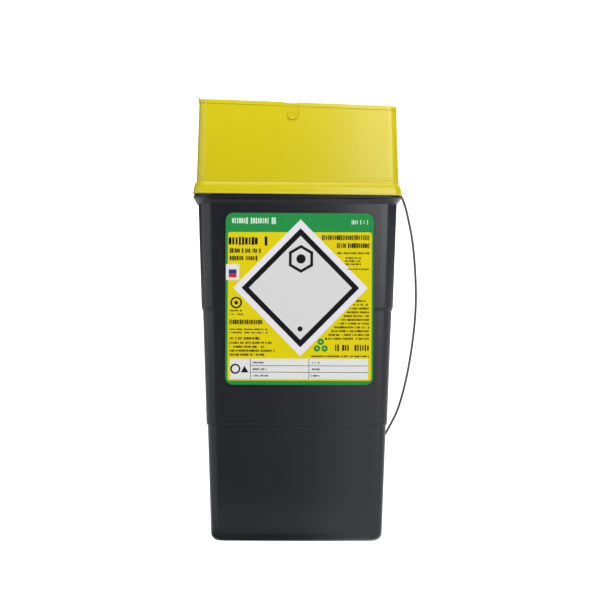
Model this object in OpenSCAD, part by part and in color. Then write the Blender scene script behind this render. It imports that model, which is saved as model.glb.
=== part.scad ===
// Small sharps container: a stepped tub, a deep clipped-down lid with a flip cover,
// and a thin carry strap that hangs behind the tub.
// The origin is the centre of the resting face, +Z is up and the front faces -Y.

/* [Body] */
// Width of the tub at its base
base_w = 73.4; // [66:0.1:84]
// Depth of the tub at its base
base_d = 55.7; // [50:0.1:66]
// Draft of the tub walls, in degrees
draft = 1.95; // [1:0.05:2.4]
// Thickness of the tub walls
wall = 1.4; // [1.1:0.1:1.8]
// Thickness of the tub floor
floor_t = 2.2; // [1.8:0.1:3]
// Radius of the tub's upright corners at the base
corner_r = 4; // [3.2:0.1:5]
// How far the front and rear walls crown out in the middle
crown = 0.9; // [0:0.1:1.2]
// Radius round the bottom edge
base_edge_r = 3.6; // [2:0.1:4]
// Height of the lower step
lower_step_z = 49.9; // [35:0.1:58]
// Height of the upper step
upper_step_z = 99.2; // [85:0.1:110]
// How far each step stands out
step_out = 0.52; // [0.3:0.02:0.9]
// Width of the moat under the floor
moat_w = 3.2; // [2:0.1:5]
// Depth of the moat under the floor
moat_depth = 0.6; // [0.3:0.1:0.9]

/* [Rim] */
// Height of the rim's top face
rim_z = 148.6; // [144:0.1:165]
// How far the rim stands out from the wall
rim_out = 2.15; // [1.8:0.05:3]
// Thickness of the rim
rim_t = 1.4; // [1.4:0.1:3]
// Height of the neck above the rim
neck_h = 2.9; // [2.4:0.1:3.1]
// How far the snap bead stands out from the neck
bead_out = 0.3; // [0.2:0.05:0.4]

/* [Label] */
// Width of the label
label_w = 63.4; // [50:0.1:66]
// Height of the label along the wall
label_h = 73.6; // [60:0.1:76]
// Height of the label's centre
label_z = 104.2; // [98:0.1:106]
// Sideways place of the label's centre
label_x = 0.9; // [-1:0.1:1]
// Corner radius of the label
label_r = 3.3; // [2:0.1:5]
// Thickness of the label
label_t = 0.25; // [0.2:0.05:0.4]
// How far the label panel stands proud of the wall
panel_proud = 0.4; // [0.4:0.05:0.6]
// Margin of the panel round the label
panel_margin = 0.2; // [0.1:0.1:1.5]

/* [Lid] */
// Height of the lid from the rim to its deck
lid_h = 38.1; // [32:0.1:44]
// Thickness of the lid walls
lid_wall = 1.4; // [1.1:0.1:1.8]
// Thickness of the lid's deck
deck_t = 1.5; // [1.2:0.1:2]
// Draft of the lid walls, in degrees
lid_draft = 1.8; // [1:0.05:2.4]
// Height of the flared skirt
skirt_h = 5.8; // [5.2:0.1:6.5]
// How much higher the skirt's edge lies at the left than at the right
skirt_fall = 0.7; // [0:0.1:0.9]
// Upright corner radius of the lid
lid_corner_r = 4.6; // [3.8:0.1:6]
// How much lower the top lies at the right than at the left
top_fall = 2.9; // [0:0.1:3.2]
// Width of the mouth
mouth_w = 52; // [40:0.5:56]
// Depth of the mouth
mouth_d = 32; // [26:0.5:34]
// How far the mouth's centre lies behind the lid's centre
mouth_y = -3; // [-4:0.5:1]
// Corner radius of the mouth
mouth_r = 6; // [4:0.5:8]

/* [Flap] */
// Thickness of the flap
flap_t = 1.65; // [1.4:0.05:2.2]
// How far the flap's edge stands out past the lid
flap_overhang = 0.1; // [0:0.05:0.6]
// Depth of the sealing ring under the flap
seal_depth = 2.6; // [2:0.1:3.4]
// Gap between the sealing ring and the mouth
seal_gap = 0.4; // [0.3:0.05:0.6]
// Chord of the finger dip in the front edge
dip_w = 6.4; // [4:0.1:8]
// Depth of the finger dip
dip_depth = 0.6; // [0.3:0.05:1.2]
// Depth of the thumb recess round the release pad
thumb_depth = 0.45; // [0.3:0.05:0.6]
// Sideways place of the finger dip and of the release pad
latch_x = -2.4; // [-5:0.1:5]
// Radius of the flap's hinge pins
hinge_pin_r = 1.25; // [1:0.05:1.5]
// Radius of the hinge knuckles
knuckle_r = 2.2; // [2.1:0.1:2.6]
// Length of one hinge knuckle
knuckle_len = 6; // [4:0.5:9]
// Distance of each hinge from the middle
hinge_x = 21; // [16:0.5:26]

/* [Release pad] */
// Radius of the ring-marked release pad
pad_r = 1.95; // [1.6:0.05:2.4]
// Height of the pad's centre below the deck
pad_drop = 3.8; // [3.4:0.1:5]
// Travel of the pad
pad_travel = 0.8; // [0.4:0.1:1]

/* [Locking tab] */
// Length of the locking tab
tab_len = 10; // [7:0.5:14]
// Width of the locking tab
tab_w = 3; // [2.4:0.1:4]
// Sideways place of the locking tab
tab_x = 15; // [12:0.5:20]
// Clearance round the tab
tab_gap = 0.15; // [0.1:0.05:0.3]
// How far the tab's barbs stand out
barb_out = 0.4; // [0.2:0.05:0.5]

/* [Strap] */
// Thickness of the strap
strap_t = 0.8; // [0.7:0.1:1.4]
// Width of the strap
strap_w = 5; // [4:0.5:6]
// Radius of the eye at each end of the strap
eye_r = 3.2; // [2.8:0.1:3.8]
// Radius of the strap's pivot pins
strap_pin_r = 1.5; // [1.2:0.05:1.8]
// Height of the strap's pivot below the rim's top face
strap_drop = 0.6; // [0.4:0.1:2]

/* [Fits] */
// Radial clearance of a pin in its bore
pin_gap = 0.06; // [0.03:0.01:0.1]
// Clearance between faces that move past each other
face_gap = 0.25; // [0.15:0.05:0.4]

/* [Hidden] */
$fn = 64;
eps = 0.01;
corner_steps = 8;
crown_steps = 6;
corner_gain = 0.45;                      // gain of the tub's corner radius as the wall grows

// Tub, from the base up
step_nose = 1.6;                         // height over which a step's nose rounds in
nose_turns = [0, 15, 35, 60, 90];        // places round the quarter ellipse of a nose
rim_under_h = 2.2;                       // height of the slope under the rim
rim_under = [[0, 0], [0.14, 0.05], [0.36, 0.19], [0.68, 0.44]];  // the slope's [height, reach] in parts
wall_top_z = rim_z - rim_t - rim_under_h;
neck_z = rim_z + neck_h;

// Half-size that the wall has gained over the base at a height
function wall_grow(z) = z * tan(draft)
    + (z > lower_step_z ? step_out : 0) + (z > upper_step_z ? step_out : 0);

neck_grow = wall_grow(wall_top_z) + 0.07;
rim_grow = wall_grow(wall_top_z) + rim_out;
rim_hw = base_w / 2 + rim_grow;
rim_hd = base_d / 2 + rim_grow;

// Label panel: a flat that follows the wall at both its ends
panel_low_z = label_z - label_h / 2;
panel_high_z = label_z + label_h / 2;
panel_low_y = -base_d / 2 - crown - wall_grow(panel_low_z);
panel_high_y = -base_d / 2 - crown - wall_grow(panel_high_z);
panel_root = crown + 0.1;                // how far the panel reaches back to the crowned wall
panel_lean = atan((panel_low_y - panel_high_y) / label_h);
panel_y = (panel_low_y + panel_high_y) / 2;

// Lid
deck_z = rim_z + lid_h;
skirt_gap = 0.25;                        // room between the snap bead and the skirt
skirt_in = rim_out - 0.07 - bead_out - skirt_gap;
skirt_rise = skirt_h - skirt_fall;
shoulder_z = neck_z + 0.3;
lid_in = 1.45;                           // how far the lid lies in from the rim above its skirt
function lid_inset(z) = lid_in + max(0, z - rim_z - skirt_h) * tan(lid_draft);
top_hw = rim_hw - lid_inset(deck_z);
top_hd = rim_hd - lid_inset(deck_z);
deck_edge_r = 0.3;

// Flap and its hinge
flap_lift = 0.05;
flap_z = deck_z + flap_lift;
flap_top_z = flap_z + flap_t;
hinge_y = top_hd + crown + knuckle_r + 0.5;
hinge_z = deck_z + 0.1;
knuckle_clear = knuckle_r + 0.8;
seal_wall = 1.2;
dip_r = (dip_w * dip_w / 4 + dip_depth * dip_depth) / (2 * dip_depth);

// Release pad and the flap's hook behind it
pad_z = deck_z - pad_drop;
pad_face_y = -(rim_hd + crown - lid_inset(pad_z));
pad_wall_y = pad_face_y + lid_wall;
pad_flange_r = pad_r + 0.25;
pad_flange_t = 0.4;
pad_seat = 0.3;
pad_end_y = pad_wall_y + pad_seat + pad_flange_t;
pad_ring_h = 0.3;
thumb_r = pad_r + 0.85;
hook_w = 7;
hook_t = 1.2;
hook_nose = 0.35;
hook_y = pad_end_y + pad_travel + hook_nose + 0.15;
hook_drop = pad_drop + 1.2;
hook_slot_gap = 0.35;

// Locking tab
tab_y = hook_y + hook_t + tab_w / 2 + 1.4;
tab_reach = 3.6;

// Strap pivots on two lugs behind the rim
lug_t = 2.2;
lug_in_x = rim_hw - 7.2;
strap_y = rim_hd + eye_r + 1.5;           // the strap's folded end swings clear of the rim
strap_z = rim_z - strap_drop;
lug_out_x = lug_in_x + lug_t;
eye_x = lug_out_x + face_gap + strap_t / 2;
strap_pin_end_x = eye_x + strap_t / 2 + face_gap;
strap_head_t = 0.8;
strap_head_r = strap_pin_r + 0.75;

// The strap's middle line in the plane of its swing, from the right eye to the left one.
// Each point is [out from the right eye, up from the pivots].
STRAP_RIGHT = [[0, 0], [0, 2.4], [1.8, 3.4], [4.4, 3.5], [6.7, 3.9], [8.2, 0.8], [9.8, -5], [12.1, -17],
               [13.4, -32], [13.6, -46], [12.3, -61], [9.9, -76], [6.7, -89], [3, -98],
               [-4.6, -110], [-16, -118.5], [-31, -122.5]];
// Each point is [in from the left eye, up from the pivots].
STRAP_LEFT = [[33.5, -120.5], [21.5, -112], [12.5, -97], [7, -72], [4, -42], [1.6, -18], [0, -7],
              [0, 0]];
strap_route = concat(
    [for (p = STRAP_RIGHT) [eye_x + p[0], strap_z + p[1]]],
    [for (p = STRAP_LEFT) [-eye_x + p[0], strap_z + p[1]]]);
strap_steps = 4;

// ---- shapes that are used more than once ----

// Points of one rounded corner
function corner(cx, cy, r, from) =
    [for (i = [0:corner_steps]) let(a = from + 90 * i / corner_steps)
        [cx + r * cos(a), cy + r * sin(a)]];

// Points of the crowned wall between two corners, from one side to the other
function crowned(reach, y, side) =
    [for (i = [1:crown_steps - 1]) let(t = 1 - 2 * i / crown_steps)
        [side * t * reach, side * (y + crown * (1 - t * t))]];

// Rounded rectangle of half-sizes hw and hd as points at a height, with front and rear crowned.
// fall is how much lower its right side lies than its left.
function ring(hw, hd, r, z, fall = 0) =
    [for (p = concat(corner(hw - r, hd - r, r, 0), crowned(hw - r, hd, 1),
                     corner(r - hw, hd - r, r, 90), corner(r - hw, r - hd, r, 180),
                     crowned(hw - r, hd, -1), corner(hw - r, r - hd, r, 270)))
        [p[0], p[1], z - fall * p[0] / (2 * hw)]];

// Closed solid through a stack of rings
module loft(rings) {
    n = len(rings[0]);
    last = len(rings) - 1;
    polyhedron(
        points = [for (r = rings) each r],
        faces = concat(
            [[for (j = [0:n - 1]) j]],
            [[for (j = [n - 1:-1:0]) last * n + j]],
            [for (i = [0:last - 1]) for (j = [0:n - 1]) let(k = (j + 1) % n)
                each [[i * n + j, (i + 1) * n + j, (i + 1) * n + k],
                      [i * n + j, (i + 1) * n + k, i * n + k]]]),
        convexity = 6);
}

// Flat rounded rectangle with true arcs
module round_rect(w, d, r) {
    square([w - 2 * r, d], center = true);
    square([w, d - 2 * r], center = true);
    for (sx = [-1, 1]) for (sy = [-1, 1])
        translate([sx * (w / 2 - r), sy * (d / 2 - r)]) circle(r);
}

// Cylinder along X from x0 to x1
module bar_x(r, x0, x1, y, z) {
    translate([x0, y, z]) rotate([0, 90, 0]) cylinder(r = r, h = x1 - x0);
}

// Cylinder along Y from y0 to y1
module bar_y(r, y0, y1, x, z) {
    translate([x, y0, z]) rotate([-90, 0, 0]) cylinder(r = r, h = y1 - y0);
}

// Box between two corners
module block(low, high) {
    translate(low) cube(high - low);
}

// Ring of the tub's own outline, grown by g
function tub_ring(z, g) =
    ring(base_w / 2 + g, base_d / 2 + g, corner_r + max(0, g) * corner_gain, z);

// Ring of the lid's own outline, set in from the rim by g
function lid_ring(z, g, fall) =
    ring(rim_hw - g, rim_hd - g, max(1, lid_corner_r - g / 4), z, fall);

// ---- tub ----

// A step in the wall: the upper tier's edge rounds in under a nose and meets the lower tier in a crease
function step_rings(z) = [
    for (a = nose_turns) let(h = step_nose * (1 - cos(a)))
        tub_ring(z + h, wall_grow(z) + h * tan(draft) + step_out * sin(a))];

module tub_outside() {
    edge = [for (a = [0:18:90])
        tub_ring(base_edge_r * (1 - cos(a)), wall_grow(base_edge_r) - base_edge_r * (1 - sin(a)))];
    rim = [
        for (p = rim_under)
            tub_ring(wall_top_z + rim_under_h * p[0], wall_grow(wall_top_z) + rim_out * p[1]),
        tub_ring(rim_z - rim_t, rim_grow - 0.5),
        tub_ring(rim_z - rim_t + 0.2, rim_grow - 0.15),
        tub_ring(rim_z - rim_t + 0.55, rim_grow),
        tub_ring(rim_z - 0.25, rim_grow),
        tub_ring(rim_z, rim_grow - 0.25),
        tub_ring(rim_z, neck_grow),
        tub_ring(rim_z + neck_h * 0.4, neck_grow),
        tub_ring(rim_z + neck_h * 0.62, neck_grow + bead_out),
        tub_ring(neck_z - 0.2, neck_grow),
        tub_ring(neck_z, neck_grow - 0.3)];
    below = panel_low_z - panel_margin - 0.8;
    above = panel_high_z + panel_margin + 0.8;
    loft(concat(edge, step_rings(lower_step_z), [tub_ring(below, wall_grow(below))],
                step_rings(upper_step_z), [tub_ring(above, wall_grow(above))], rim));
}

module tub_inside() {
    function in_ring(z, g) = ring(base_w / 2 + g - wall, base_d / 2 + g - wall,
                                  max(1, corner_r + max(0, g) * corner_gain - wall), z);
    loft([
        in_ring(floor_t, -1.2),
        in_ring(floor_t + 0.4, -0.35),
        in_ring(floor_t + 1.4, wall_grow(floor_t)),
        in_ring(lower_step_z - step_nose / 2, wall_grow(lower_step_z - step_nose / 2)),
        in_ring(lower_step_z + step_nose, wall_grow(lower_step_z + step_nose)),
        in_ring(upper_step_z - step_nose / 2, wall_grow(upper_step_z - step_nose / 2)),
        in_ring(upper_step_z + step_nose, wall_grow(upper_step_z + step_nose)),
        in_ring(wall_top_z, wall_grow(wall_top_z)),
        in_ring(neck_z + eps, neck_grow - 0.15)]);
}

// Shallow moat that leaves a foot round the edge and a flat island in the middle
module floor_moat() {
    outer_w = base_w - 2 * base_edge_r - 5;
    outer_d = base_d - 2 * base_edge_r - 5;
    translate([0, 0, -eps]) linear_extrude(moat_depth + eps) difference() {
        round_rect(outer_w, outer_d, corner_r);
        round_rect(outer_w - 2 * moat_w, outer_d - 2 * moat_w, corner_r - 1.5);
    }
}

// Flat panel under the label, leaning with the wall
module label_plate(w, h, r, back, front) {
    translate([label_x, panel_y, label_z]) rotate([panel_lean, 0, 0])
        translate([0, -back, 0]) rotate([90, 0, 0])
            linear_extrude(front - back) round_rect(w, h, r);
}

// Lug with its pivot pin, on the right side
module strap_lug() {
    difference() {
        union() {
            bar_x(eye_r, lug_in_x, lug_out_x, strap_y, strap_z);
            block([lug_in_x, rim_hd - 1.5, strap_z - eye_r], [lug_out_x, strap_y, rim_z - 0.3]);
        }
        // slope under the lug, in line with the rim's underside
        translate([lug_in_x - 1, rim_hd - 2.2, strap_z - eye_r - 0.01])
            rotate([-38, 0, 0]) translate([0, -6, -6]) cube([lug_t + 2, 6, 6]);
    }
    bar_x(strap_pin_r, lug_out_x - eps, strap_pin_end_x + eps, strap_y, strap_z);
    bar_x(strap_head_r, strap_pin_end_x, strap_pin_end_x + strap_head_t, strap_y, strap_z);
}

module container_body() {
    color([0.17, 0.175, 0.18]) {
        difference() {
            union() {
                tub_outside();
                label_plate(label_w + 2 * panel_margin, label_h + 2 * panel_margin,
                            label_r + panel_margin, -panel_root, panel_proud);
            }
            tub_inside();
            floor_moat();
        }
        for (side = [0, 1]) mirror([side, 0, 0]) strap_lug();
    }
}

module front_label() {
    color([0.85, 0.8, 0.05])
        label_plate(label_w, label_h, label_r, panel_proud, panel_proud + label_t);
}

// ---- lid ----

// Fine ridge round the lid
function ridge_rings(z) = [
    lid_ring(z - 0.3, lid_inset(z), 0),
    lid_ring(z, lid_inset(z) - 0.1, 0),
    lid_ring(z + 0.3, lid_inset(z), 0)];

// Ring of the skirt at a height over its edge, which lies a little higher at the left
function skirt_ring(h, g) = lid_ring(rim_z + skirt_fall / 2 + h, g, skirt_fall);

module lid_outside() {
    skirt = [
        skirt_ring(0, 0.1),
        skirt_ring(0.2, -0.1),
        skirt_ring(0.5, -0.1),
        skirt_ring(0.8, 0.12),
        skirt_ring(skirt_rise * 0.35, 0.22),
        skirt_ring(skirt_rise * 0.53, 0.36),
        skirt_ring(skirt_rise * 0.84, 0.8),
        skirt_ring(skirt_rise, lid_in)];
    top = [
        lid_ring(deck_z - deck_edge_r, lid_inset(deck_z - deck_edge_r), top_fall),
        lid_ring(deck_z - deck_edge_r * 0.3, lid_inset(deck_z) + deck_edge_r * 0.3, top_fall),
        lid_ring(deck_z, lid_inset(deck_z) + deck_edge_r, top_fall)];
    foot_z = rim_z + skirt_h + 2;
    under_recess = (pad_z - thumb_r - 1.2 - foot_z) / (deck_z - deck_edge_r - foot_z);
    wall_mid = [for (s = [under_recess / 2, under_recess]) let(z = foot_z + s * (deck_z - deck_edge_r - foot_z))
        lid_ring(z, lid_inset(z), s * top_fall)];
    loft(concat(skirt, ridge_rings(rim_z + skirt_h + 0.7), ridge_rings(rim_z + skirt_h + 1.7), wall_mid, top));
}

module lid_inside() {
    loft([
        lid_ring(rim_z - eps, skirt_in, 0),
        lid_ring(shoulder_z, skirt_in, 0),
        lid_ring(shoulder_z, lid_in + lid_wall, 0),
        lid_ring(rim_z + skirt_h, lid_in + lid_wall, 0),
        lid_ring(deck_z - deck_t, lid_inset(deck_z) + lid_wall, top_fall)]);
}

// Shallow recess for the thumb round the release pad, open at the top, cut from a face at y
module thumb_recess(y, top_z) {
    translate([latch_x, y + thumb_depth, pad_z]) rotate([90, 0, 0])
        linear_extrude(3 + thumb_depth) {
            circle(thumb_r);
            translate([-thumb_r, 0]) square([2 * thumb_r, top_z - pad_z]);
        }
}

// Mouth with two needle-remover notches in its right edge
module mouth_outline() {
    round_rect(mouth_w, mouth_d, mouth_r);
    edge_x = mouth_w / 2 - 1;
    translate([edge_x, 5]) {
        translate([0, -1.2]) square([6, 2.4]);
        translate([6, 0]) circle(2.4);
    }
    translate([edge_x, -5])
        polygon([[0, -2.6], [7, -0.5], [7, 0.5], [0, 2.6]]);
}

// One hinge socket on the right side, with its web to the rear wall
module hinge_socket() {
    x0 = hinge_x + face_gap / 2;
    x1 = x0 + knuckle_len;
    difference() {
        union() {
            bar_x(knuckle_r, x0, x1, hinge_y, hinge_z);
            block([x0, top_hd - 0.6, hinge_z - knuckle_r - 3], [x1, hinge_y, hinge_z - 1.3]);
        }
        bar_x(hinge_pin_r + pin_gap, x0 - 1, x1 + 1, hinge_y, hinge_z);
        // the web leans back to the wall
        translate([x0 - 1, hinge_y + 0.3, hinge_z - knuckle_r - 0.3]) rotate([-50, 0, 0])
            translate([0, -1, -8]) cube([knuckle_len + 2, 10, 8]);
    }
}

module lid_shell() {
    color([0.86, 0.8, 0.08]) {
        difference() {
            lid_outside();
            lid_inside();
            translate([0, mouth_y, deck_z - 6]) linear_extrude(12) mouth_outline();
            // slot for the flap's hook
            block([latch_x - hook_w / 2 - hook_slot_gap, hook_y - hook_nose - hook_slot_gap + 0.2,
                   deck_z - 6],
                  [latch_x + hook_w / 2 + hook_slot_gap, hook_y + hook_t + hook_slot_gap, deck_z + 6]);
            // socket for the locking tab
            translate([tab_x, tab_y, deck_z - 6]) linear_extrude(12)
                square([tab_len + 2 * barb_out + 2 * tab_gap + 0.4,
                        tab_w + 2 * barb_out + 2 * tab_gap + 0.4], center = true);
            bar_y(pad_r + pin_gap, pad_face_y - 2, pad_wall_y + 2, latch_x, pad_z);
            thumb_recess(pad_face_y, deck_z + 1);
        }
        for (side = [0, 1]) mirror([side, 0, 0]) hinge_socket();
    }
}

// ---- flap ----

// Ring of the flap's outline, grown by g past the lid's top
function flap_ring(z, g) = ring(top_hw + g, top_hd + g, lid_corner_r, z, top_fall);

// Flap knuckle with its pin, on the right side
module flap_knuckle() {
    x1 = hinge_x - face_gap / 2;
    x0 = x1 - knuckle_len;
    bar_x(knuckle_r, x0, x1, hinge_y, hinge_z);
    // leaf that reaches onto the plate, above its underside at the higher left hinge
    block([x0, top_hd - 1.2, flap_z + top_fall * hinge_x / (2 * top_hw) + 0.05],
          [x1, hinge_y, hinge_z + knuckle_r - 0.35]);
    bar_x(hinge_pin_r, x1 - eps, x1 + face_gap + knuckle_len - 0.6, hinge_y, hinge_z);
}

// Plate with its sockets cleared, seal ring, hook and finger dip
module flap_plate() {
    difference() {
        loft([flap_ring(flap_z, flap_overhang - 0.1),
              flap_ring(flap_z + 0.1, flap_overhang),
              flap_ring(flap_top_z - 0.45, flap_overhang),
              flap_ring(flap_top_z - 0.12, flap_overhang - 0.14),
              flap_ring(flap_top_z, flap_overhang - 0.45)]);
        // room for the lid's hinge sockets
        for (side = [-1, 1])
            translate([side * (hinge_x + face_gap / 2 + knuckle_len / 2), hinge_y, flap_z])
                cube([knuckle_len + 0.6, 2 * knuckle_clear, 12], center = true);
        // finger dip and thumb recess over the release pad
        bar_y(dip_r, -rim_hd - crown - 2, -top_hd + 4, latch_x - 0.4,
              flap_top_z - top_fall * latch_x / (2 * top_hw) + dip_r - dip_depth);
        thumb_recess(pad_face_y, flap_top_z + 1);
        // slot for the locking tab
        translate([tab_x, tab_y, flap_z - 3]) linear_extrude(9)
            square([tab_len + 2 * tab_gap, tab_w + 2 * tab_gap], center = true);
    }
}

// Ring that plugs the mouth
module seal_ring() {
    w = mouth_w - 2 * seal_gap;
    d = mouth_d - 2 * seal_gap;
    translate([0, mouth_y, flap_z - seal_depth]) linear_extrude(seal_depth + 0.8) difference() {
        round_rect(w, d, mouth_r - seal_gap);
        round_rect(w - 2 * seal_wall, d - 2 * seal_wall, mouth_r - seal_gap - seal_wall);
    }
}

// Hook behind the release pad, with a small nose towards the front wall
module hook() {
    low_z = flap_z - hook_drop;
    block([latch_x - hook_w / 2, hook_y, low_z], [latch_x + hook_w / 2, hook_y + hook_t, flap_z + 0.8]);
    translate([latch_x - hook_w / 2, hook_y, deck_z - deck_t - 1.4])
        rotate([90, 0, 90]) linear_extrude(hook_w)
            polygon([[0.1, 0], [0.1, -1], [-hook_nose, -0.3], [-hook_nose, 0]]);
}

// Small pip that the mould leaves at the flap's left front corner
module gate_pip() {
    translate([-top_hw - flap_overhang + 0.35, lid_corner_r - top_hd, flap_top_z + top_fall / 2 - 0.8])
        rotate([0, -16, 0]) {
            cylinder(r = 0.5, h = 1.5);
            translate([0, 0, 1.5]) sphere(0.5);
        }
}

module flap_cover() {
    color([0.86, 0.8, 0.08]) {
        flap_plate();
        gate_pip();
        seal_ring();
        hook();
        for (side = [0, 1]) mirror([side, 0, 0]) flap_knuckle();
    }
}

// ---- small movers ----

module press_pad() {
    color([0.86, 0.8, 0.08]) {
        difference() {
            bar_y(pad_r, pad_face_y - pad_ring_h, pad_end_y, latch_x, pad_z);
            bar_y(pad_r - 0.5, pad_face_y - 1, pad_face_y, latch_x, pad_z);
        }
        bar_y(pad_flange_r, pad_wall_y + pad_seat, pad_end_y, latch_x, pad_z);
    }
}

module securing_tab() {
    local_top = flap_top_z - top_fall * (tab_x + tab_len / 2) / (2 * top_hw) - 0.05;
    barb_top = deck_z - top_fall * (tab_x + tab_len / 2) / (2 * top_hw) - 0.3;
    color([0.86, 0.8, 0.08]) difference() {
        union() {
            block([tab_x - tab_len / 2, tab_y - tab_w / 2, local_top - tab_reach],
                  [tab_x + tab_len / 2, tab_y + tab_w / 2, local_top]);
            block([tab_x - tab_len / 2 - barb_out, tab_y - tab_w / 2 - barb_out, barb_top - 1],
                  [tab_x + tab_len / 2 + barb_out, tab_y + tab_w / 2 + barb_out, barb_top]);
        }
        // thumb groove across the tab's top
        bar_y(1.6, tab_y - tab_w, tab_y + tab_w, tab_x, local_top + 1.1);
    }
}

// ---- strap ----

// Smooth curve through the route's points
function blend4(a, b, c, d, t) = 0.5 * ((2 * b) + (c - a) * t
    + (2 * a - 5 * b + 4 * c - d) * t * t + (3 * b - a - 3 * c + d) * t * t * t);

module carry_strap() {
    route = strap_route;
    last = len(route) - 1;
    line = concat(
        [for (i = [0:last - 1]) for (k = [0:strap_steps - 1])
            blend4(route[max(0, i - 1)], route[i], route[i + 1], route[min(last, i + 2)],
                   k / strap_steps)],
        [route[last]]);
    count = len(line);
    // unit normals of the line, square to its chords
    normals = [for (i = [0:count - 1])
        let(d = line[min(count - 1, i + 1)] - line[max(0, i - 1)], n = norm(d))
            [-d[1] / n, d[0] / n]];
    outline = concat(
        [for (i = [0:count - 1]) line[i] + normals[i] * strap_t / 2],
        [for (i = [count - 1:-1:0]) line[i] - normals[i] * strap_t / 2]);
    color([0.3, 0.27, 0.25]) difference() {
        union() {
            translate([0, strap_y + strap_w / 2, 0]) rotate([90, 0, 0])
                linear_extrude(strap_w) polygon(outline);
            for (side = [-1, 1])
                bar_x(eye_r, side * eye_x - strap_t / 2, side * eye_x + strap_t / 2, strap_y, strap_z);
        }
        for (side = [-1, 1])
            bar_x(strap_pin_r + pin_gap, side * eye_x - 2, side * eye_x + 2, strap_y, strap_z);
    }
}

container_body();
front_label();
lid_shell();
flap_cover();
press_pad();
securing_tab();
carry_strap();
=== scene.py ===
import math

import bmesh
import bpy
from mathutils import Matrix, Vector


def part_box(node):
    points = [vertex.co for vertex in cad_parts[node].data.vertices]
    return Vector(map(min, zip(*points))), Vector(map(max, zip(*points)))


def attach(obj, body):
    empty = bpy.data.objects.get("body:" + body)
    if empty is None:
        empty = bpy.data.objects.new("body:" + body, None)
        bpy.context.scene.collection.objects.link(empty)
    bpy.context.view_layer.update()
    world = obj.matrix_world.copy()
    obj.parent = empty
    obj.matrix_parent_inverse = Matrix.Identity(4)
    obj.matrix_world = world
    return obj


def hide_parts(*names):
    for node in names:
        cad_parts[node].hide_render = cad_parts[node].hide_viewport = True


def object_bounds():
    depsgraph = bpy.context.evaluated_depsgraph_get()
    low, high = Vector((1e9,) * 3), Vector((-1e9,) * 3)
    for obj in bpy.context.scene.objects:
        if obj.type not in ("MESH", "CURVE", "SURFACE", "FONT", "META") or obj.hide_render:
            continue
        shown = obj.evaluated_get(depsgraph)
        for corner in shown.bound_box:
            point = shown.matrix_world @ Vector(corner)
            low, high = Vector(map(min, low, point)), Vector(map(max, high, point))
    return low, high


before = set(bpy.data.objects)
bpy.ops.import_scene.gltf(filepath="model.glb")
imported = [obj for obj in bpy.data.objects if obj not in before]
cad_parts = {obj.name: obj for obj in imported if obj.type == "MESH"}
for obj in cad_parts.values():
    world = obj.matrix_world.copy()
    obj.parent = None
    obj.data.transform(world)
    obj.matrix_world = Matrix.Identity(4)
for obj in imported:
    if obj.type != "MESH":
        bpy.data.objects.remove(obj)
cadLow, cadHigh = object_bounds()
scene = bpy.context.scene
mm = 0.001


# straight at the labelled front, from a little below its middle
camera = {
    "distance": 1300 * mm,
    "yaw": 0.35,            # degrees round to the container's left
    "roll": 0.20,           # degrees of tilt to the left
    "eyeHeight": 83 * mm,
    "frameWidth": 257.3 * mm,   # what the view spans at the front wall
    "frontPlane": 32 * mm,      # how far the front wall lies before the middle
    "aimX": 1.41 * mm,
    "shiftY": 0.0808,
    "sensor": 36, "clip": (0.05, 50),
}


def addCamera():
    data = bpy.data.cameras.new("camera")
    data.sensor_width = camera["sensor"]
    data.lens = camera["sensor"] * (camera["distance"] - camera["frontPlane"]) / camera["frameWidth"]
    data.shift_y = camera["shiftY"]
    data.clip_start, data.clip_end = camera["clip"]
    body = bpy.data.objects.new("camera", data)
    turn = Matrix.Rotation(math.radians(-camera["yaw"]), 4, "Z")
    place = Matrix.Translation((camera["aimX"], -camera["distance"], camera["eyeHeight"]))
    upright = (Matrix.Rotation(math.radians(90), 4, "X")
               @ Matrix.Rotation(math.radians(camera["roll"]), 4, "Z"))
    body.matrix_world = turn @ place @ upright
    scene.collection.objects.link(body)
    scene.camera = body
    print("camera placed")


addCamera()


class Wire:
    # one value in a node tree; arithmetic on it adds Math nodes
    def __init__(self, socket):
        self.socket = socket

    def maths(self, operation, first, second):
        tree = self.socket.id_data
        node = tree.nodes.new("ShaderNodeMath")
        node.operation = operation
        for slot, value in zip(node.inputs, (first, second)):
            if isinstance(value, Wire):
                tree.links.new(value.socket, slot)
            else:
                slot.default_value = value
        return Wire(node.outputs[0])

    def __add__(self, other):
        return self.maths("ADD", self, other)

    def __sub__(self, other):
        return self.maths("SUBTRACT", self, other)

    def __rsub__(self, other):
        return self.maths("SUBTRACT", other, self)

    def __mul__(self, other):
        return self.maths("MULTIPLY", self, other)

    __radd__ = __add__
    __rmul__ = __mul__


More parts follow.
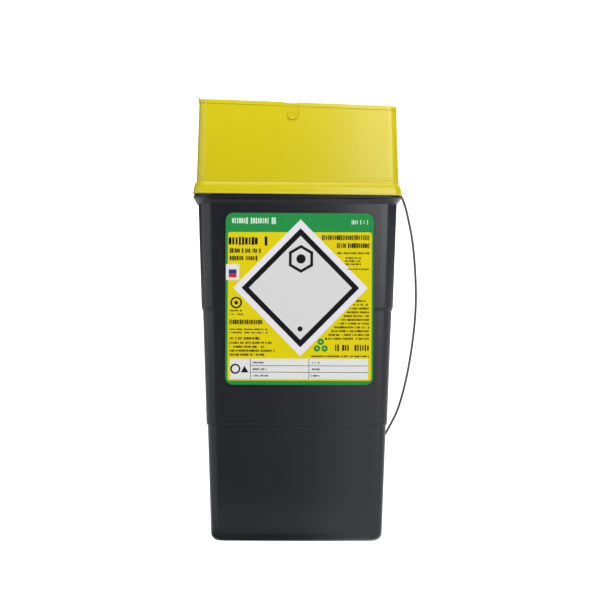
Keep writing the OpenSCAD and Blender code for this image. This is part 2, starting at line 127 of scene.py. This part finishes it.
class Finish:
    # a material on one Principled shader
    def __init__(self, name, **values):
        self.material = bpy.data.materials.new(name)
        self.material.use_nodes = True
        self.tree = self.material.node_tree
        self.shader = self.tree.nodes["Principled BSDF"]
        self.plug(self.shader, values)

    def plug(self, node, values):
        for name, value in values.items():
            socket = node.inputs[name]
            if isinstance(value, Wire):
                self.tree.links.new(value.socket, socket)
            else:
                socket.default_value = value

    def node(self, kind, settings=None, values=None, out=0):
        new = self.tree.nodes.new(kind)
        for name, value in (settings or {}).items():
            if name == "stops":
                ramp = new.color_ramp
                while len(ramp.elements) < len(value):
                    ramp.elements.new(0.5)
                for element, (place, shade) in zip(ramp.elements, value):
                    element.position = place
                    element.color = (shade, shade, shade, 1)
            else:
                setattr(new, name, value)
        self.plug(new, values or {})
        return Wire(new.outputs[out])

    def place(self):
        # where a point lies on the piece
        return self.node("ShaderNodeTexCoord", out=3)

    def noise(self, scale, detail=2.0, roughness=0.5):
        return self.node("ShaderNodeTexNoise", None,
                         {"Vector": self.place(), "Scale": scale, "Detail": detail, "Roughness": roughness})

    def ramp(self, value, *stops):
        return self.node("ShaderNodeValToRGB", {"stops": stops}, {"Fac": value})

    def mixColour(self, factor, dark, light):
        return self.node("ShaderNodeMix", {"data_type": "RGBA"}, {0: factor, 6: dark, 7: light}, out=2)

    def bump(self, height, strength, distance):
        return self.node("ShaderNodeBump", None,
                         {"Height": height, "Strength": strength, "Distance": distance})


def linear(red, green, blue):
    # a screen colour, 0 to 255, as the shader's own
    def part(value):
        value /= 255
        return value / 12.92 if value <= 0.04045 else ((value + 0.055) / 1.055) ** 2.4
    return (part(red), part(green), part(blue), 1)


tubFinish = {
    "colour": linear(18, 20, 28), "colourWorn": linear(22, 24, 32), "ior": 1.46,
    "roughness": 0.15, "roughnessSpread": 0.04, "scuffRoughness": 0.06, "cloud": 22,
    "scuff": 160, "scuffRamp": ((0.55, 0), (0.78, 1)),
    "grain": 2600.0, "grainDepth": 0.006 * mm, "grainStrength": 0.35,
}


def tubPlastic():
    made = Finish("tubPlastic")
    cloud = made.noise(tubFinish["cloud"], 3)
    grain = made.noise(tubFinish["grain"], 3, 0.6)
    scuff = made.ramp(made.noise(tubFinish["scuff"], 5, 0.7), *tubFinish["scuffRamp"])
    made.plug(made.shader, {
        "Base Color": made.mixColour(cloud, tubFinish["colour"], tubFinish["colourWorn"]),
        "Roughness": (cloud * tubFinish["roughnessSpread"] + scuff * tubFinish["scuffRoughness"]
                      + tubFinish["roughness"]),
        "Normal": made.bump(grain, tubFinish["grainStrength"], tubFinish["grainDepth"]),
        "IOR": tubFinish["ior"],
    })
    return made.material


lidFinish = {
    "colour": linear(222, 206, 14), "colourDeep": linear(216, 199, 8),
    # painted shade: at the lid's foot its colour is multiplied by the foot colour, and this fades to none
    # over a height above it
    "paintedFootShade": (0.88, 0.89, 0.8, 1), "footHeight": cadHigh.z - 38 * mm, "paintedShadeSpan": 34 * mm,
    "roughness": 0.16, "roughnessSpread": 0.04, "cloud": 18, "ior": 1.53,
    "grain": 2200.0, "grainDepth": 0.006 * mm, "grainStrength": 0.3,
    "glow": 0.12, "glowRadius": (0.9, 0.7, 0.15), "glowScale": 1.2 * mm,
}


def lidPlastic():
    made = Finish("lidPlastic")
    cloud = made.noise(lidFinish["cloud"], 3)
    grain = made.noise(lidFinish["grain"], 3, 0.6)
    split = made.node("ShaderNodeSeparateXYZ", None, {0: made.place()}, out=2)
    height = made.ramp((split - lidFinish["footHeight"]) * (1 / lidFinish["paintedShadeSpan"]), (0, 0), (1, 1))
    # painted shade: the lid's base colour is darkened towards its foot and fades to full colour towards its
    # top, standing in for the light that falls from above
    shadeByHeight = made.mixColour(height, lidFinish["paintedFootShade"], (1, 1, 1, 1))
    body = made.mixColour(cloud, lidFinish["colour"], lidFinish["colourDeep"])
    made.plug(made.shader, {
        "Base Color": made.node("ShaderNodeMix", {"data_type": "RGBA", "blend_type": "MULTIPLY"},
                                {0: 1.0, 6: body, 7: shadeByHeight}, out=2),
        "Roughness": cloud * lidFinish["roughnessSpread"] + lidFinish["roughness"],
        "Normal": made.bump(grain, lidFinish["grainStrength"], lidFinish["grainDepth"]),
        "IOR": lidFinish["ior"],
        "Subsurface Weight": lidFinish["glow"],
        "Subsurface Radius": lidFinish["glowRadius"],
        "Subsurface Scale": lidFinish["glowScale"],
    })
    return made.material


strapFinish = {
    "colour": linear(66, 58, 53), "colourWorn": linear(80, 70, 63), "cloud": 90,
    "roughness": 0.40, "roughnessSpread": 0.12,
    "grain": 2400, "grainDepth": 0.01 * mm, "grainStrength": 0.3,
}


def strapPlastic():
    made = Finish("strapPlastic")
    cloud = made.noise(strapFinish["cloud"], 3)
    grain = made.noise(strapFinish["grain"], 2)
    made.plug(made.shader, {
        "Base Color": made.mixColour(cloud, strapFinish["colour"], strapFinish["colourWorn"]),
        "Roughness": cloud * strapFinish["roughnessSpread"] + strapFinish["roughness"],
        "Normal": made.bump(grain, strapFinish["grainStrength"], strapFinish["grainDepth"]),
    })
    return made.material


inkColours = {
    "inkGreen": linear(38, 143, 72),
    "inkYellow": linear(226, 208, 10),
    "inkLilac": linear(230, 228, 236),
    "inkBlack": linear(22, 21, 20),
    "inkSilver": linear(217, 217, 217),
    "inkPaper": linear(226, 227, 226),
    "inkMint": linear(200, 232, 206),
    "inkRed": linear(196, 40, 48),
    "inkBlue": linear(44, 58, 132),
}


inkFinish = {
    "mottle": 900, "mottleTone": 0.94, "specular": 0.07,
    "cloud": 60, "roughness": 0.40, "roughnessSpread": 0.08,
    "ripple": 420, "rippleDepth": 0.02 * mm, "rippleStrength": 0.12,
}


def printInk(name, colour):
    # matt film: ink with a faint press mottle
    made = Finish(name)
    mottle = made.noise(inkFinish["mottle"], 2)
    tone = tuple(part * inkFinish["mottleTone"] for part in colour[:3]) + (1,)
    cloud = made.noise(inkFinish["cloud"], 2)
    ripple = made.noise(inkFinish["ripple"], 2)
    made.plug(made.shader, {
        "Base Color": made.mixColour(mottle, tone, colour),
        "Roughness": cloud * inkFinish["roughnessSpread"] + inkFinish["roughness"],
        "Normal": made.bump(ripple, inkFinish["rippleStrength"], inkFinish["rippleDepth"]),
        "Specular IOR Level": inkFinish["specular"],
    })
    return made.material


finishes = {"tub": tubPlastic(), "lid": lidPlastic(), "strap": strapPlastic()}
for inkName, inkColour in inkColours.items():
    finishes[inkName] = printInk(inkName, inkColour)
print("materials made:", len(finishes))


# each moulded piece is a joined, smooth-shaded copy of its CAD solid
mouldings = [
    # name, CAD node, body, slot, finish, angle past which an edge stays sharp
    ("tubShell", "container_body", "container", "tub_plastic", "tub", 34),
    ("lidCap", "lid_shell", "container", "lid_plastic", "lid", 34),
    ("flapPlate", "flap_cover", "flap", "lid_plastic", "lid", 34),
    ("releasePad", "press_pad", "release_pad", "lid_plastic", "lid", 40),
    ("lockTab", "securing_tab", "lock_tab", "lid_plastic", "lid", 40),
    ("carryStrap", "carry_strap", "strap", "strap_plastic", "strap", 30),
]


def settle(name, mesh, body, replaced=None):
    piece = bpy.data.objects.new(name, mesh)
    scene.collection.objects.link(piece)
    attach(piece, body)
    if replaced:
        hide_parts(replaced)
    return piece


flapLip = {
    "side": 41.0 * mm, "front": -32.9 * mm,   # the lip lies outside these
    "drop": 0.16 * mm, "spread": 0.08 * mm,
    "wallSlope": 0.2, "bevelSlope": (-0.95, -0.4),   # a face's normal, its z part
}


def lowerLip(work):
    # the closed flap's lower edge comes down a little past the lid's rounded top edge
    lip = []
    steep, shallow = flapLip["bevelSlope"]
    for vert in work.verts:
        outside = abs(vert.co.x) > flapLip["side"] or vert.co.y < flapLip["front"]
        slopes = [face.normal.z for face in vert.link_faces]
        walls = [face.normal for face in vert.link_faces if abs(face.normal.z) < flapLip["wallSlope"]]
        if outside and walls and any(steep < slope < shallow for slope in slopes):
            lip.append((vert, sum(walls, Vector()).normalized()))
    for vert, outward in lip:
        vert.co.z -= flapLip["drop"]
        vert.co += Vector((outward.x, outward.y, 0)) * flapLip["spread"]
    print("flap lip lowered:", len(lip), "points")


shading = {"weld": 0.002 * mm, "flatAngle": math.radians(0.2), "faceWeight": 90}


def mouldedCopy(name, node, body, slot, finish, sharpAngle):
    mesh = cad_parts[node].data.copy()
    mesh.name = name
    work = bmesh.new()
    work.from_mesh(mesh)
    bmesh.ops.remove_doubles(work, verts=work.verts, dist=shading["weld"])
    bmesh.ops.dissolve_limit(work, angle_limit=shading["flatAngle"], verts=work.verts, edges=work.edges)
    work.normal_update()
    if body == "flap":
        lowerLip(work)
        work.normal_update()
    for face in work.faces:
        face.smooth = True
    for edge in work.edges:
        edge.smooth = edge.calc_face_angle(0) < math.radians(sharpAngle)
    work.to_mesh(mesh)
    work.free()
    if mesh.has_custom_normals:
        mesh.attributes.remove(mesh.attributes["custom_normal"])
    mesh.materials.clear()
    mesh.materials.append(finishes[finish])

    # wide faces lead the smooth shading, so that the flat walls stay flat right up to their edges
    rough = bpy.data.objects.new("rough", mesh)
    scene.collection.objects.link(rough)
    weigh = rough.modifiers.new("weigh", "WEIGHTED_NORMAL")
    weigh.mode = "FACE_AREA"
    weigh.weight = shading["faceWeight"]
    weigh.keep_sharp = True
    even = bpy.data.meshes.new_from_object(rough.evaluated_get(bpy.context.evaluated_depsgraph_get()))
    bpy.data.objects.remove(rough)
    even.name = name
    return settle(name, even, body, node)


for row in mouldings:
    mouldedCopy(*row)
print("mouldings made:", len(mouldings))


# the print is laid out flat, in mm from the label's middle, and then placed on the leaning front panel
labelPrint = {
    "width": 63.4, "height": 73.6, "corner": 3.3, "film": 0.25, "layer": 0.025,
    "panel": (-30.7, -35.0, 30.9, 28.6), "panelCorner": 1.0,
    "diamond": (0.4, 4.8),
    "diamondHalf": (28.8, 29.3), "ringHalf": (25.2, 25.5), "fillHalf": (22.05, 22.3),
    "table": (-29.7, -34.3, 29.5, -25.6),
    "tableColumns": (-20.9, 4.15), "tableRows": (-28.6, -31.4), "rule": 0.22,
    # round and many-sided marks: (x, y), outer and inner radius
    "motif": (0.6, 17.2), "motifSize": (6.0, 4.6), "motifDot": 2.0,
    "cornerDot": (0.3, -12.8), "cornerDotSize": 1.1,
    "tableRing": (-27.4, -30.0), "tableRingSize": (2.2, 1.5),
    "tableMark": (-23.4, -30.6), "tableMarkSize": 1.9,
    "roundMark": (-27.1, -1.6), "roundMarkSize": (2.5, 1.8), "roundMarkDot": 0.8,
    "trio": (9.2, -20.2), "trioReach": 1.9, "trioSize": (1.4, 0.4),
    # white tab and its two-colour bar
    "tab": (-31.5, 8.0, -25.8, 14.9), "tabCorner": 0.5,
    "barRed": (-30.3, 9.2, -27.0, 10.9), "barBlue": (-30.3, 10.9, -27.0, 12.6),
}


def labelPlace():
    # the front face of the CAD label gives the panel's place and lean
    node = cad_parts["front_label"].data
    front = max((f for f in node.polygons if f.normal.y < -0.9), key=lambda f: f.area)
    low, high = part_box("front_label")
    middle = (low + high) / 2
    outward = front.normal.copy()
    upward = Vector((0, outward.z, -outward.y))
    reach = (front.center - middle).dot(outward)
    place = Matrix.Identity(4)
    for axis, column in enumerate((Vector((1, 0, 0)), upward, outward, middle + outward * reach)):
        for line in range(3):
            place[line][axis] = column[line]
    return place


def roundedOutline(x0, y0, x1, y1, radius, steps=8):
    points = []
    for cx, cy, start in ((x1 - radius, y1 - radius, 0), (x0 + radius, y1 - radius, 90),
                          (x0 + radius, y0 + radius, 180), (x1 - radius, y0 + radius, 270)):
        for step in range(steps + 1):
            angle = math.radians(start + 90 * step / steps)
            points.append((cx + radius * math.cos(angle), cy + radius * math.sin(angle)))
    return points


def diamondOutline(centre, half):
    return [(centre[0] + half[0], centre[1]), (centre[0], centre[1] + half[1]),
            (centre[0] - half[0], centre[1]), (centre[0], centre[1] - half[1])]


def polygonOutline(cx, cy, radius, sides, turn=0):
    return [(cx + radius * math.cos(math.radians(turn + 360 * side / sides)),
             cy + radius * math.sin(math.radians(turn + 360 * side / sides))) for side in range(sides)]


class PrintSheet:
    # flat plates in label millimetres, each on its own layer and with its own ink
    def __init__(self):
        self.work = bmesh.new()
        self.inks = []

    def inkIndex(self, ink):
        if ink not in self.inks:
            self.inks.append(ink)
        return self.inks.index(ink)

    def plate(self, ink, outline, layer, hole=None, bottom=None):
        top = layer * labelPrint["layer"]
        base = top - labelPrint["layer"] if bottom is None else bottom
        rings = [[self.work.verts.new((x * mm, y * mm, z * mm)) for x, y in loop]
                 for loop in ([outline, hole] if hole else [outline]) for z in (base, top)]
        index = self.inkIndex(ink)
        count = len(outline)
        faces = []
        for side in range(count):
            after = (side + 1) % count
            faces.append((rings[0][side], rings[0][after], rings[1][after], rings[1][side]))
            if hole:
                faces.append((rings[2][after], rings[2][side], rings[3][side], rings[3][after]))
                faces.append((rings[1][side], rings[1][after], rings[3][after], rings[3][side]))
                faces.append((rings[0][after], rings[0][side], rings[2][side], rings[2][after]))
        if not hole:
            faces.append(rings[1])
            faces.append(list(reversed(rings[0])))
        for corners in faces:
            self.work.faces.new(corners).material_index = index

    def box(self, ink, x0, y0, x1, y1, layer):
        self.plate(ink, [(x1, y0), (x1, y1), (x0, y1), (x0, y0)], layer)

    def finish(self, name, place):
        mesh = bpy.data.meshes.new(name)
        self.work.transform(place)
        self.work.to_mesh(mesh)
        self.work.free()
        for ink in self.inks:
            mesh.materials.append(finishes[ink])
        return mesh


# lines of stand-in print: left end, right end, baseline height, letter height, ink
textLines = [
    (-28.6, -10.6, 32.0, 2.9, "inkMint"),        # header, left
    (22.4, 29.0, 31.9, 2.0, "inkMint"),          # header, right
    (-29.8, -14.4, 22.8, 4.0, "inkBlack"),       # heading, left
    (-29.6, -17.0, 19.6, 2.1, "inkBlack"),
    (-29.6, -18.4, 16.4, 2.1, "inkBlack"),
    (9.9, 29.6, 25.2, 2.3, "inkBlack"),          # heading, right
    (16.3, 29.6, 21.8, 2.3, "inkBlack"),
    (16.4, 29.6, 19.3, 0.8, "inkBlack"),
    (20.6, 29.6, 12.5, 0.7, "inkBlack"),
    (-29.7, -24.3, -5.4, 0.8, "inkBlack"),
    (-29.7, -24.3, -7.0, 0.8, "inkBlack"),
    (-29.7, -16.1, -11.0, 2.2, "inkBlack"),      # middle heading, left
    (-29.7, -13.8, -13.4, 0.7, "inkBlack"),
    (-29.7, -13.8, -14.8, 0.7, "inkBlack"),
    (-29.7, -17.2, -17.5, 1.2, "inkBlack"),
    (-29.7, -11.8, -19.3, 1.0, "inkBlack"),
    (-29.7, -15.2, -21.0, 1.0, "inkBlack"),
    (-29.7, -10.9, -22.7, 1.0, "inkBlack"),
    (-29.7, -15.2, -24.4, 1.0, "inkBlack"),
    (15.6, 29.4, -22.3, 2.9, "inkBlack"),        # bold line by the round mark
    (5.2, 29.6, -24.9, 0.8, "inkBlack"),
    (-19.7, -15.6, -27.7, 0.8, "inkBlack"),      # captions in the write-on table
    (-19.7, -14.2, -30.5, 0.8, "inkBlack"),
    (-19.7, -13.4, -33.3, 0.8, "inkBlack"),
    (5.2, 8.6, -27.7, 0.8, "inkBlack"),
    (5.2, 8.6, -30.5, 0.8, "inkBlack"),
    (5.2, 8.6, -33.3, 0.8, "inkBlack"),
]
smallBlock = {"left": 19.4, "right": 26.2, "top": 17.2, "lines": 3, "pitch": 1.3}
paragraph = {"right": 29.6, "top": -1.2, "lines": 11, "pitch": 1.62, "height": 0.95,
             "leftTop": 24.6, "leftBottom": 11.2}

for line in range(smallBlock["lines"]):
    textLines.append((smallBlock["left"], smallBlock["right"],
                      smallBlock["top"] - line * smallBlock["pitch"], 0.8, "inkBlack"))
for line in range(paragraph["lines"]):
    share = line / (paragraph["lines"] - 1)
    left = paragraph["leftTop"] + (paragraph["leftBottom"] - paragraph["leftTop"]) * share
    textLines.append((left, paragraph["right"], paragraph["top"] - line * paragraph["pitch"],
                      paragraph["height"], "inkBlack"))


def addLabelSheet(place):
    sheet = PrintSheet()
    size = labelPrint
    sheet.plate("inkGreen", roundedOutline(-size["width"] / 2, -size["height"] / 2,
                                           size["width"] / 2, size["height"] / 2, size["corner"]),
                0, bottom=-size["film"])
    sheet.plate("inkYellow", roundedOutline(*size["panel"], size["panelCorner"]), 1)
    centre = size["diamond"]
    sheet.plate("inkLilac", diamondOutline(centre, size["diamondHalf"]), 2)
    sheet.plate("inkBlack", diamondOutline(centre, size["ringHalf"]), 3,
                hole=diamondOutline(centre, size["fillHalf"]))
    sheet.plate("inkSilver", diamondOutline(centre, size["fillHalf"]), 3)

    def ring(ink, middle, radii, sides, layer, turn=0):
        sheet.plate(ink, polygonOutline(*middle, radii[0], sides, turn), layer,
                    hole=polygonOutline(*middle, radii[1], sides, turn))

    def disc(ink, middle, radius, sides, layer, turn=0):
        sheet.plate(ink, polygonOutline(*middle, radius, sides, turn), layer)

    # plain six-sided motif with a dot, and a small dot in the lower corner
    ring("inkBlack", size["motif"], size["motifSize"], 6, 4, 30)
    disc("inkBlack", size["motif"], size["motifDot"], 24, 4)
    disc("inkBlack", size["cornerDot"], size["cornerDotSize"], 24, 4)

    # write-on table with its rules
    x0, y0, x1, y1 = size["table"]
    half = size["rule"] / 2
    sheet.box("inkPaper", x0, y0, x1, y1, 2)
    for x in size["tableColumns"]:
        sheet.box("inkBlack", x - half, y0, x + half, y1, 3)
    for y in size["tableRows"]:
        sheet.box("inkBlack", size["tableColumns"][0], y - half, x1, y + half, 3)
    ring("inkBlack", size["tableRing"], size["tableRingSize"], 24, 3)
    disc("inkBlack", size["tableMark"], size["tableMarkSize"], 3, 3, 90)

    # plain white tab with a two-colour bar, a round mark, and three green rings
    sheet.plate("inkPaper", roundedOutline(*size["tab"], size["tabCorner"]), 2)
    sheet.box("inkRed", *size["barRed"], 3)
    sheet.box("inkBlue", *size["barBlue"], 3)
    ring("inkBlack", size["roundMark"], size["roundMarkSize"], 32, 2)
    disc("inkBlack", size["roundMark"], size["roundMarkDot"], 24, 2)
    for turn in range(3):
        angle = math.radians(90 + 120 * turn)
        spot = (size["trio"][0] + size["trioReach"] * math.cos(angle),
                size["trio"][1] + size["trioReach"] * math.sin(angle))
        ring("inkGreen", spot, size["trioSize"], 20, 2)

    mesh = sheet.finish("labelSheet", place)
    settle("labelSheet", mesh, "container", "front_label")
    print("label sheet printed")


blockPrint = {
    "smallest": (0.42, 0.72, 1), "largest": (0.92, 1.0, 1),   # a block's share of its pitch and height
    "boldHeight": 1.5,                                        # lines over this are headings
    "boldPitch": 0.34, "finePitch": 0.5, "thickness": 0.03,
    "fineGaps": 0.16, "boldGaps": 0.1, "seed": 11, "gapSeed": 57,
}


# Geometry Nodes: rows of small blocks along line segments, like print too small to read
def greekTree(name):
    tree = bpy.data.node_groups.new(name, "GeometryNodeTree")
    faces = tree.interface
    faces.new_socket("Lines", in_out="INPUT", socket_type="NodeSocketGeometry")
    for label, kind, value in (("Pitch", "NodeSocketFloat", 0.5 * mm),
                               ("Height", "NodeSocketFloat", 1 * mm),
                               ("Thickness", "NodeSocketFloat", 0.02 * mm),
                               ("Gaps", "NodeSocketFloat", 0.15),
                               ("Seed", "NodeSocketInt", 1)):
        faces.new_socket(label, in_out="INPUT", socket_type=kind).default_value = value
    faces.new_socket("Ink", in_out="INPUT", socket_type="NodeSocketMaterial")
    faces.new_socket("Print", in_out="OUTPUT", socket_type="NodeSocketGeometry")

    def add(kind, settings=None, **links):
        node = tree.nodes.new(kind)
        for key, value in (settings or {}).items():
            setattr(node, key, value)
        for key, value in links.items():
            socket = node.inputs[key.replace("_", " ")]
            if hasattr(value, "is_linked"):
                tree.links.new(value, socket)
            else:
                socket.default_value = value
        return node

    given = add("NodeGroupInput").outputs
    curve = add("GeometryNodeMeshToCurve", Mesh=given["Lines"]).outputs["Curve"]
    spaced = add("GeometryNodeResampleCurve", {"mode": "LENGTH"}, Curve=curve, Length=given["Pitch"])
    block = add("GeometryNodeMeshCube").outputs["Mesh"]
    shape = add("ShaderNodeCombineXYZ", X=given["Pitch"], Y=given["Height"], Z=given["Thickness"])
    jitter = add("FunctionNodeRandomValue", {"data_type": "FLOAT_VECTOR"}, Seed=given["Seed"])
    jitter.inputs["Min"].default_value = blockPrint["smallest"]
    jitter.inputs["Max"].default_value = blockPrint["largest"]
    scale = add("ShaderNodeVectorMath", {"operation": "MULTIPLY"})
    tree.links.new(shape.outputs[0], scale.inputs[0])
    tree.links.new(jitter.outputs["Value"], scale.inputs[1])
    gap = add("FunctionNodeRandomValue", {"data_type": "BOOLEAN"}, Probability=given["Gaps"])
    other = add("ShaderNodeMath", {"operation": "ADD"})
    tree.links.new(given["Seed"], other.inputs[0])
    other.inputs[1].default_value = blockPrint["gapSeed"]
    tree.links.new(other.outputs[0], gap.inputs["Seed"])
    letters = add("FunctionNodeBooleanMath", {"operation": "NOT"})
    tree.links.new(next(o for o in gap.outputs if o.enabled), letters.inputs[0])
    placed = add("GeometryNodeInstanceOnPoints", Points=spaced.outputs["Curve"], Instance=block,
                 Selection=letters.outputs[0], Scale=scale.outputs[0])
    real = add("GeometryNodeRealizeInstances", Geometry=placed.outputs["Instances"])
    inked = add("GeometryNodeSetMaterial", Geometry=real.outputs["Geometry"], Material=given["Ink"])
    out = add("NodeGroupOutput")
    tree.links.new(inked.outputs["Geometry"], out.inputs["Print"])
    return tree


def addSmallPrint(place):
    tree = greekTree("greekPrint")
    sockets = {item.name: item.identifier for item in tree.interface.items_tree if item.in_out == "INPUT"}
    parts = []
    groups = sorted({(height, ink) for _, _, _, height, ink in textLines})
    for number, (height, ink) in enumerate(groups):
        rows = [row for row in textLines if row[3] == height and row[4] == ink]
        mesh = bpy.data.meshes.new("rows")
        ends = [(x * mm, (base + height / 2) * mm, 0) for x0, x1, base, _, _ in rows for x in (x0, x1)]
        mesh.from_pydata(ends, [(2 * i, 2 * i + 1) for i in range(len(rows))], [])
        lines = bpy.data.objects.new("rows", mesh)
        scene.collection.objects.link(lines)
        modifier = lines.modifiers.new("print", "NODES")
        modifier.node_group = tree
        bold = height > blockPrint["boldHeight"]
        modifier[sockets["Pitch"]] = height * blockPrint["boldPitch" if bold else "finePitch"] * mm
        modifier[sockets["Height"]] = height * mm
        modifier[sockets["Thickness"]] = blockPrint["thickness"] * mm
        modifier[sockets["Seed"]] = blockPrint["seed"] + number
        modifier[sockets["Gaps"]] = blockPrint["boldGaps" if bold else "fineGaps"]
        modifier[sockets["Ink"]] = finishes[ink]
        drawn = bpy.data.meshes.new_from_object(lines.evaluated_get(bpy.context.evaluated_depsgraph_get()))
        parts.append((drawn, ink))
        bpy.data.objects.remove(lines)
    work = bmesh.new()
    inks = []
    for drawn, ink in parts:
        if ink not in inks:
            inks.append(ink)
        start = len(work.faces)
        work.from_mesh(drawn)
        work.faces.ensure_lookup_table()
        for face in work.faces[start:]:
            face.material_index = inks.index(ink)
    lift = Matrix.Translation((0, 0, 3 * labelPrint["layer"] * mm))
    work.transform(place @ lift)
    mesh = bpy.data.meshes.new("smallPrint")
    work.to_mesh(mesh)
    work.free()
    for ink in inks:
        mesh.materials.append(finishes[ink])
    settle("smallPrint", mesh, "container")
    print("small print laid:", len(mesh.polygons) // 6, "blocks")


panelPlace = labelPlace()
addLabelSheet(panelPlace)
addSmallPrint(panelPlace)


# floor, surroundings and lamps
studio = {
    "floorSize": 14.0, "floorWhite": (0.9, 0.9, 0.9, 1), "floorDark": (0.3, 0.3, 0.3, 1),
    "shadowShare": 0.35,    # how much of the floor's own shading the camera sees
    "shadowReach": 0.45,    # metres round the object where it does
    "sheen": 1.15,          # brightness of the floor's right side as the plastic mirrors it
    "backdrop": 1.5,        # anything over 1 is plain white
    "world": 0.07,          # surroundings as the plastic mirrors them
    "fill": 0.47,           # and as they light it
    "floorDrop": 0.05 * mm, "floorRoughness": 0.9, "bearingEase": 0.15,
    # ramps of (place, brightness): left to right, close in front, and far away
    "sideGlow": ((0, 0.7), (0.275, 0.55), (0.375, 0.14), (0.45, 0.06), (0.49, 0.14),
                 (0.516, 0.30), (0.54, 0.6), (0.565, 1)),
    "closeGlow": ((0.04, 0), (0.08, 0.4), (0.12, 0.4), (0.155, 0)),
    "farGlow": ((0.3, 0), (0.5, 0.22)), "farReach": 5.0,
    "shadowFade": ((0.25, 1), (1.0, 0)),
}
lamps = [
    # name, degrees round to the right, height, distance, width, height of the box, brightness
    ("rightBox", 28, 0.62, 1.60, 1.36, 1.24, 3.45),
    ("leftBox", -68, 0.40, 1.20, 2.10, 0.80, 0.9),
    ("topBox", 8, 1.10, 0.50, 0.90, 0.60, 1.6),
    ("backBox", 150, 0.60, 1.10, 0.90, 0.80, 1.6),
]


def addLamp(name, azimuth, height, distance, width, tall, brightness):
    data = bpy.data.lights.new(name, "AREA")
    data.shape = "RECTANGLE"
    data.size = width
    data.size_y = tall
    data.energy = brightness * math.pi * width * tall
    turn = math.radians(azimuth)
    place = Vector((distance * math.sin(turn), -distance * math.cos(turn), height))
    lamp = bpy.data.objects.new(name, data)
    lamp.location = place
    aim = Vector((0, 0, min(height, (cadLow.z + cadHigh.z) / 2)))
    lamp.rotation_euler = (aim - place).to_track_quat("-Z", "Y").to_euler()
    scene.collection.objects.link(lamp)


def addFloor():
    # the camera sees white with a soft shadow round the object; the plastic mirrors a floor that is
    # dark on the left and bright on the right
    made = Finish("floorPaint", Roughness=studio["floorRoughness"])
    path = made.tree.nodes.new("ShaderNodeLightPath")
    seen, mirrored = Wire(path.outputs["Is Camera Ray"]), Wire(path.outputs["Is Glossy Ray"])
    body = made.mixColour(seen, studio["floorDark"], studio["floorWhite"])
    made.plug(made.shader, {"Base Color": body})
    split = made.tree.nodes.new("ShaderNodeSeparateXYZ")
    made.plug(split, {0: made.place()})
    across, along = Wire(split.outputs[0]), Wire(split.outputs[1])
    depth = along.maths("ABSOLUTE", along, 0)
    bearing = across.maths("DIVIDE", across, depth + studio["bearingEase"])
    bright = (made.ramp(bearing * 0.5 + 0.5, *studio["sideGlow"])
              + made.ramp(depth, *studio["closeGlow"])
              + made.ramp(depth * (1 / studio["farReach"]), *studio["farGlow"]))
    away = made.node("ShaderNodeVectorMath", {"operation": "LENGTH"}, {0: made.place()}, out=1)
    near = made.ramp(away * (1 / studio["shadowReach"]), *studio["shadowFade"])

    def mix(factor, first, second):
        node = made.tree.nodes.new("ShaderNodeMixShader")
        made.tree.links.new(factor.socket, node.inputs[0])
        made.tree.links.new(first.socket, node.inputs[1])
        made.tree.links.new(second.socket, node.inputs[2])
        return Wire(node.outputs[0])

    def glow(strength):
        return made.node("ShaderNodeEmission", None, {"Color": (1, 1, 1, 1), "Strength": strength})

    paint = mix(mirrored * bright, Wire(made.shader.outputs[0]), glow(studio["sheen"]))
    paint = mix(seen * (1 - near * studio["shadowShare"]), paint, glow(studio["backdrop"]))
    made.tree.links.new(paint.socket, made.tree.nodes["Material Output"].inputs["Surface"])
    half = studio["floorSize"] / 2
    mesh = bpy.data.meshes.new("floor")
    mesh.from_pydata([(-half, -half, 0), (half, -half, 0), (half, half, 0), (-half, half, 0)],
                     [], [(0, 1, 2, 3)])
    mesh.materials.append(made.material)
    floor = bpy.data.objects.new("floor", mesh)
    floor.location.z = cadLow.z - studio["floorDrop"]
    scene.collection.objects.link(floor)


def addWorld():
    world = bpy.data.worlds.new("studio")
    world.use_nodes = True
    tree = world.node_tree
    shade = tree.nodes["Background"]
    shade.inputs["Color"].default_value = (1, 1, 1, 1)
    path = tree.nodes.new("ShaderNodeLightPath")
    seen, lit = Wire(path.outputs["Is Camera Ray"]), Wire(path.outputs["Is Diffuse Ray"])
    strength = (seen * (studio["backdrop"] - studio["world"]) + lit * (studio["fill"] - studio["world"])
                + studio["world"])
    tree.links.new(strength.socket, shade.inputs["Strength"])
    scene.world = world


for lampRow in lamps:
    addLamp(*lampRow)
addFloor()
addWorld()
scene.view_settings.view_transform = "Standard"
print("studio lit with", len(lamps), "lamps")
